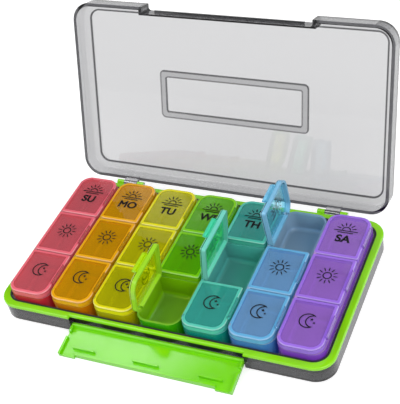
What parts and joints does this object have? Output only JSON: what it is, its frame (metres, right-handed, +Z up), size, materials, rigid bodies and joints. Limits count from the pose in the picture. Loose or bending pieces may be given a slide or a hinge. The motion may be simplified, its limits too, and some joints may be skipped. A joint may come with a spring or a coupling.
{
  "type": "weekly pill box",
  "caption": "Weekly pill case: clear folding outer lid with front latch over rainbow day boxes that lift out, each with hinged lids for morning, noon and evening.",
  "frame": {"origin": "centre of the tray's underside", "axes": "+X along the days, +Y towards the rear hinge, +Z up"},
  "size_m": [0.226, 0.2021, 0.1345],
  "materials": {
    "smoke_tray": "gloss",
    "smoke_clear": "gloss",
    "lime": "gloss",
    "seal": "matt",
    "pin_steel": "satin",
    "day_sun": "gloss",
    "day_mon": "gloss",
    "day_tue": "gloss",
    "day_wed": "gloss",
    "day_thu": "gloss",
    "day_fri": "gloss",
    "day_sat": "gloss"
  },
  "bodies": {
    "case": {"base_tray": "smoke_tray", "rim_frame": "lime", "rim_seal": "seal", "hinge_pin_left": "pin_steel", "hinge_pin_right": "pin_steel"},
    "outer_lid": {"outer_lid": "smoke_clear"},
    "latch": {"latch_flap": "lime"},
    "box_sun": {"box_sun": "day_sun"},
    "lid_sun_evening": {"lid_sun_evening": "day_sun"},
    "lid_sun_noon": {"lid_sun_noon": "day_sun"},
    "lid_sun_morning": {"lid_sun_morning": "day_sun"},
    "box_mon": {"box_mon": "day_mon"},
    "lid_mon_evening": {"lid_mon_evening": "day_mon"},
    "lid_mon_noon": {"lid_mon_noon": "day_mon"},
    "lid_mon_morning": {"lid_mon_morning": "day_mon"},
    "box_tue": {"box_tue": "day_tue"},
    "lid_tue_evening": {"lid_tue_evening": "day_tue"},
    "lid_tue_noon": {"lid_tue_noon": "day_tue"},
    "lid_tue_morning": {"lid_tue_morning": "day_tue"},
    "box_wed": {"box_wed": "day_wed"},
    "lid_wed_evening": {"lid_wed_evening": "day_wed"},
    "lid_wed_noon": {"lid_wed_noon": "day_wed"},
    "lid_wed_morning": {"lid_wed_morning": "day_wed"},
    "box_thu": {"box_thu": "day_thu"},
    "lid_thu_evening": {"lid_thu_evening": "day_thu"},
    "lid_thu_noon": {"lid_thu_noon": "day_thu"},
    "lid_thu_morning": {"lid_thu_morning": "day_thu"},
    "box_fri": {"box_fri": "day_fri"},
    "lid_fri_evening": {"lid_fri_evening": "day_fri"},
    "lid_fri_noon": {"lid_fri_noon": "day_fri"},
    "lid_fri_morning": {"lid_fri_morning": "day_fri"},
    "box_sat": {"box_sat": "day_sat"},
    "lid_sat_evening": {"lid_sat_evening": "day_sat"},
    "lid_sat_noon": {"lid_sat_noon": "day_sat"},
    "lid_sat_morning": {"lid_sat_morning": "day_sat"}
  },
  "joints": [
    {"name": "outer_lid_hinge", "type": "hinge", "parent": "case", "child": "outer_lid", "pos_m": [0, 0.0652, 0.0137], "axis": [-1, 0, 0], "range_deg": [-108.9, 0]},
    {"name": "latch_hinge", "type": "hinge", "parent": "case", "child": "latch", "pos_m": [0, -0.0609, 0.0055], "axis": [1, 0, 0], "range_deg": [-98, 52]},
    {"name": "lift_sun", "type": "slide", "parent": "case", "child": "box_sun", "axis": [0, 0, 1], "range_m": [0, 0.013]},
    {"name": "hinge_sun_evening", "type": "hinge", "parent": "box_sun", "child": "lid_sun_evening", "pos_m": [-0.10545, -0.0378, 0.0215], "axis": [0, -1, 0], "range_deg": [0, 105]},
    {"name": "hinge_sun_noon", "type": "hinge", "parent": "box_sun", "child": "lid_sun_noon", "pos_m": [-0.10545, 0, 0.0215], "axis": [0, -1, 0], "range_deg": [0, 105]},
    {"name": "hinge_sun_morning", "type": "hinge", "parent": "box_sun", "child": "lid_sun_morning", "pos_m": [-0.10545, 0.0378, 0.0215], "axis": [0, -1, 0], "range_deg": [0, 105]},
    {"name": "lift_mon", "type": "slide", "parent": "case", "child": "box_mon", "axis": [0, 0, 1], "range_m": [0, 0.013]},
    {"name": "hinge_mon_evening", "type": "hinge", "parent": "box_mon", "child": "lid_mon_evening", "pos_m": [-0.07485, -0.0378, 0.0215], "axis": [0, -1, 0], "range_deg": [0, 105]},
    {"name": "hinge_mon_noon", "type": "hinge", "parent": "box_mon", "child": "lid_mon_noon", "pos_m": [-0.07485, 0, 0.0215], "axis": [0, -1, 0], "range_deg": [0, 105]},
    {"name": "hinge_mon_morning", "type": "hinge", "parent": "box_mon", "child": "lid_mon_morning", "pos_m": [-0.07485, 0.0378, 0.0215], "axis": [0, -1, 0], "range_deg": [0, 105]},
    {"name": "lift_tue", "type": "slide", "parent": "case", "child": "box_tue", "axis": [0, 0, 1], "range_m": [0, 0.013]},
    {"name": "hinge_tue_evening", "type": "hinge", "parent": "box_tue", "child": "lid_tue_evening", "pos_m": [-0.04425, -0.0378, 0.0215], "axis": [0, -1, 0], "range_deg": [0, 105]},
    {"name": "hinge_tue_noon", "type": "hinge", "parent": "box_tue", "child": "lid_tue_noon", "pos_m": [-0.04425, 0, 0.0215], "axis": [0, -1, 0], "range_deg": [0, 105]},
    {"name": "hinge_tue_morning", "type": "hinge", "parent": "box_tue", "child": "lid_tue_morning", "pos_m": [-0.04425, 0.0378, 0.0215], "axis": [0, -1, 0], "range_deg": [0, 105]},
    {"name": "lift_wed", "type": "slide", "parent": "case", "child": "box_wed", "axis": [0, 0, 1], "range_m": [0, 0.013]},
    {"name": "hinge_wed_evening", "type": "hinge", "parent": "box_wed", "child": "lid_wed_evening", "pos_m": [-0.01365, -0.0378, 0.0215], "axis": [0, -1, 0], "range_deg": [-83.5, 21.5]},
    {"name": "hinge_wed_noon", "type": "hinge", "parent": "box_wed", "child": "lid_wed_noon", "pos_m": [-0.01365, 0, 0.0215], "axis": [0, -1, 0], "range_deg": [0, 105]},
    {"name": "hinge_wed_morning", "type": "hinge", "parent": "box_wed", "child": "lid_wed_morning", "pos_m": [-0.01365, 0.0378, 0.0215], "axis": [0, -1, 0], "range_deg": [0, 105]},
    {"name": "lift_thu", "type": "slide", "parent": "case", "child": "box_thu", "axis": [0, 0, 1], "range_m": [0, 0.013]},
    {"name": "hinge_thu_evening", "type": "hinge", "parent": "box_thu", "child": "lid_thu_evening", "pos_m": [0.01695, -0.0378, 0.0215], "axis": [0, -1, 0], "range_deg": [0, 105]},
    {"name": "hinge_thu_noon", "type": "hinge", "parent": "box_thu", "child": "lid_thu_noon", "pos_m": [0.01695, 0, 0.0215], "axis": [0, -1, 0], "range_deg": [-82.5, 22.5]},
    {"name": "hinge_thu_morning", "type": "hinge", "parent": "box_thu", "child": "lid_thu_morning", "pos_m": [0.01695, 0.0378, 0.0215], "axis": [0, -1, 0], "range_deg": [0, 105]},
    {"name": "lift_fri", "type": "slide", "parent": "case", "child": "box_fri", "axis": [0, 0, 1], "range_m": [0, 0.013]},
    {"name": "hinge_fri_evening", "type": "hinge", "parent": "box_fri", "child": "lid_fri_evening", "pos_m": [0.04755, -0.0378, 0.0215], "axis": [0, -1, 0], "range_deg": [0, 105]},
    {"name": "hinge_fri_noon", "type": "hinge", "parent": "box_fri", "child": "lid_fri_noon", "pos_m": [0.04755, 0, 0.0215], "axis": [0, -1, 0], "range_deg": [0, 105]},
    {"name": "hinge_fri_morning", "type": "hinge", "parent": "box_fri", "child": "lid_fri_morning", "pos_m": [0.04755, 0.0378, 0.0215], "axis": [0, -1, 0], "range_deg": [-93.5, 11.5]},
    {"name": "lift_sat", "type": "slide", "parent": "case", "child": "box_sat", "axis": [0, 0, 1], "range_m": [0, 0.013]},
    {"name": "hinge_sat_evening", "type": "hinge", "parent": "box_sat", "child": "lid_sat_evening", "pos_m": [0.07815, -0.0378, 0.0215], "axis": [0, -1, 0], "range_deg": [0, 105]},
    {"name": "hinge_sat_noon", "type": "hinge", "parent": "box_sat", "child": "lid_sat_noon", "pos_m": [0.07815, 0, 0.0215], "axis": [0, -1, 0], "range_deg": [0, 105]},
    {"name": "hinge_sat_morning", "type": "hinge", "parent": "box_sat", "child": "lid_sat_morning", "pos_m": [0.07815, 0.0378, 0.0215], "axis": [0, -1, 0], "range_deg": [0, 105]}
  ],
  "couplings": [
    {"joint": "hinge_wed_evening", "follows": "outer_lid_hinge", "ratio": 0.76675},
    {"joint": "hinge_thu_noon", "follows": "outer_lid_hinge", "ratio": 0.75757},
    {"joint": "hinge_fri_morning", "follows": "outer_lid_hinge", "ratio": 0.85858}
  ]
}
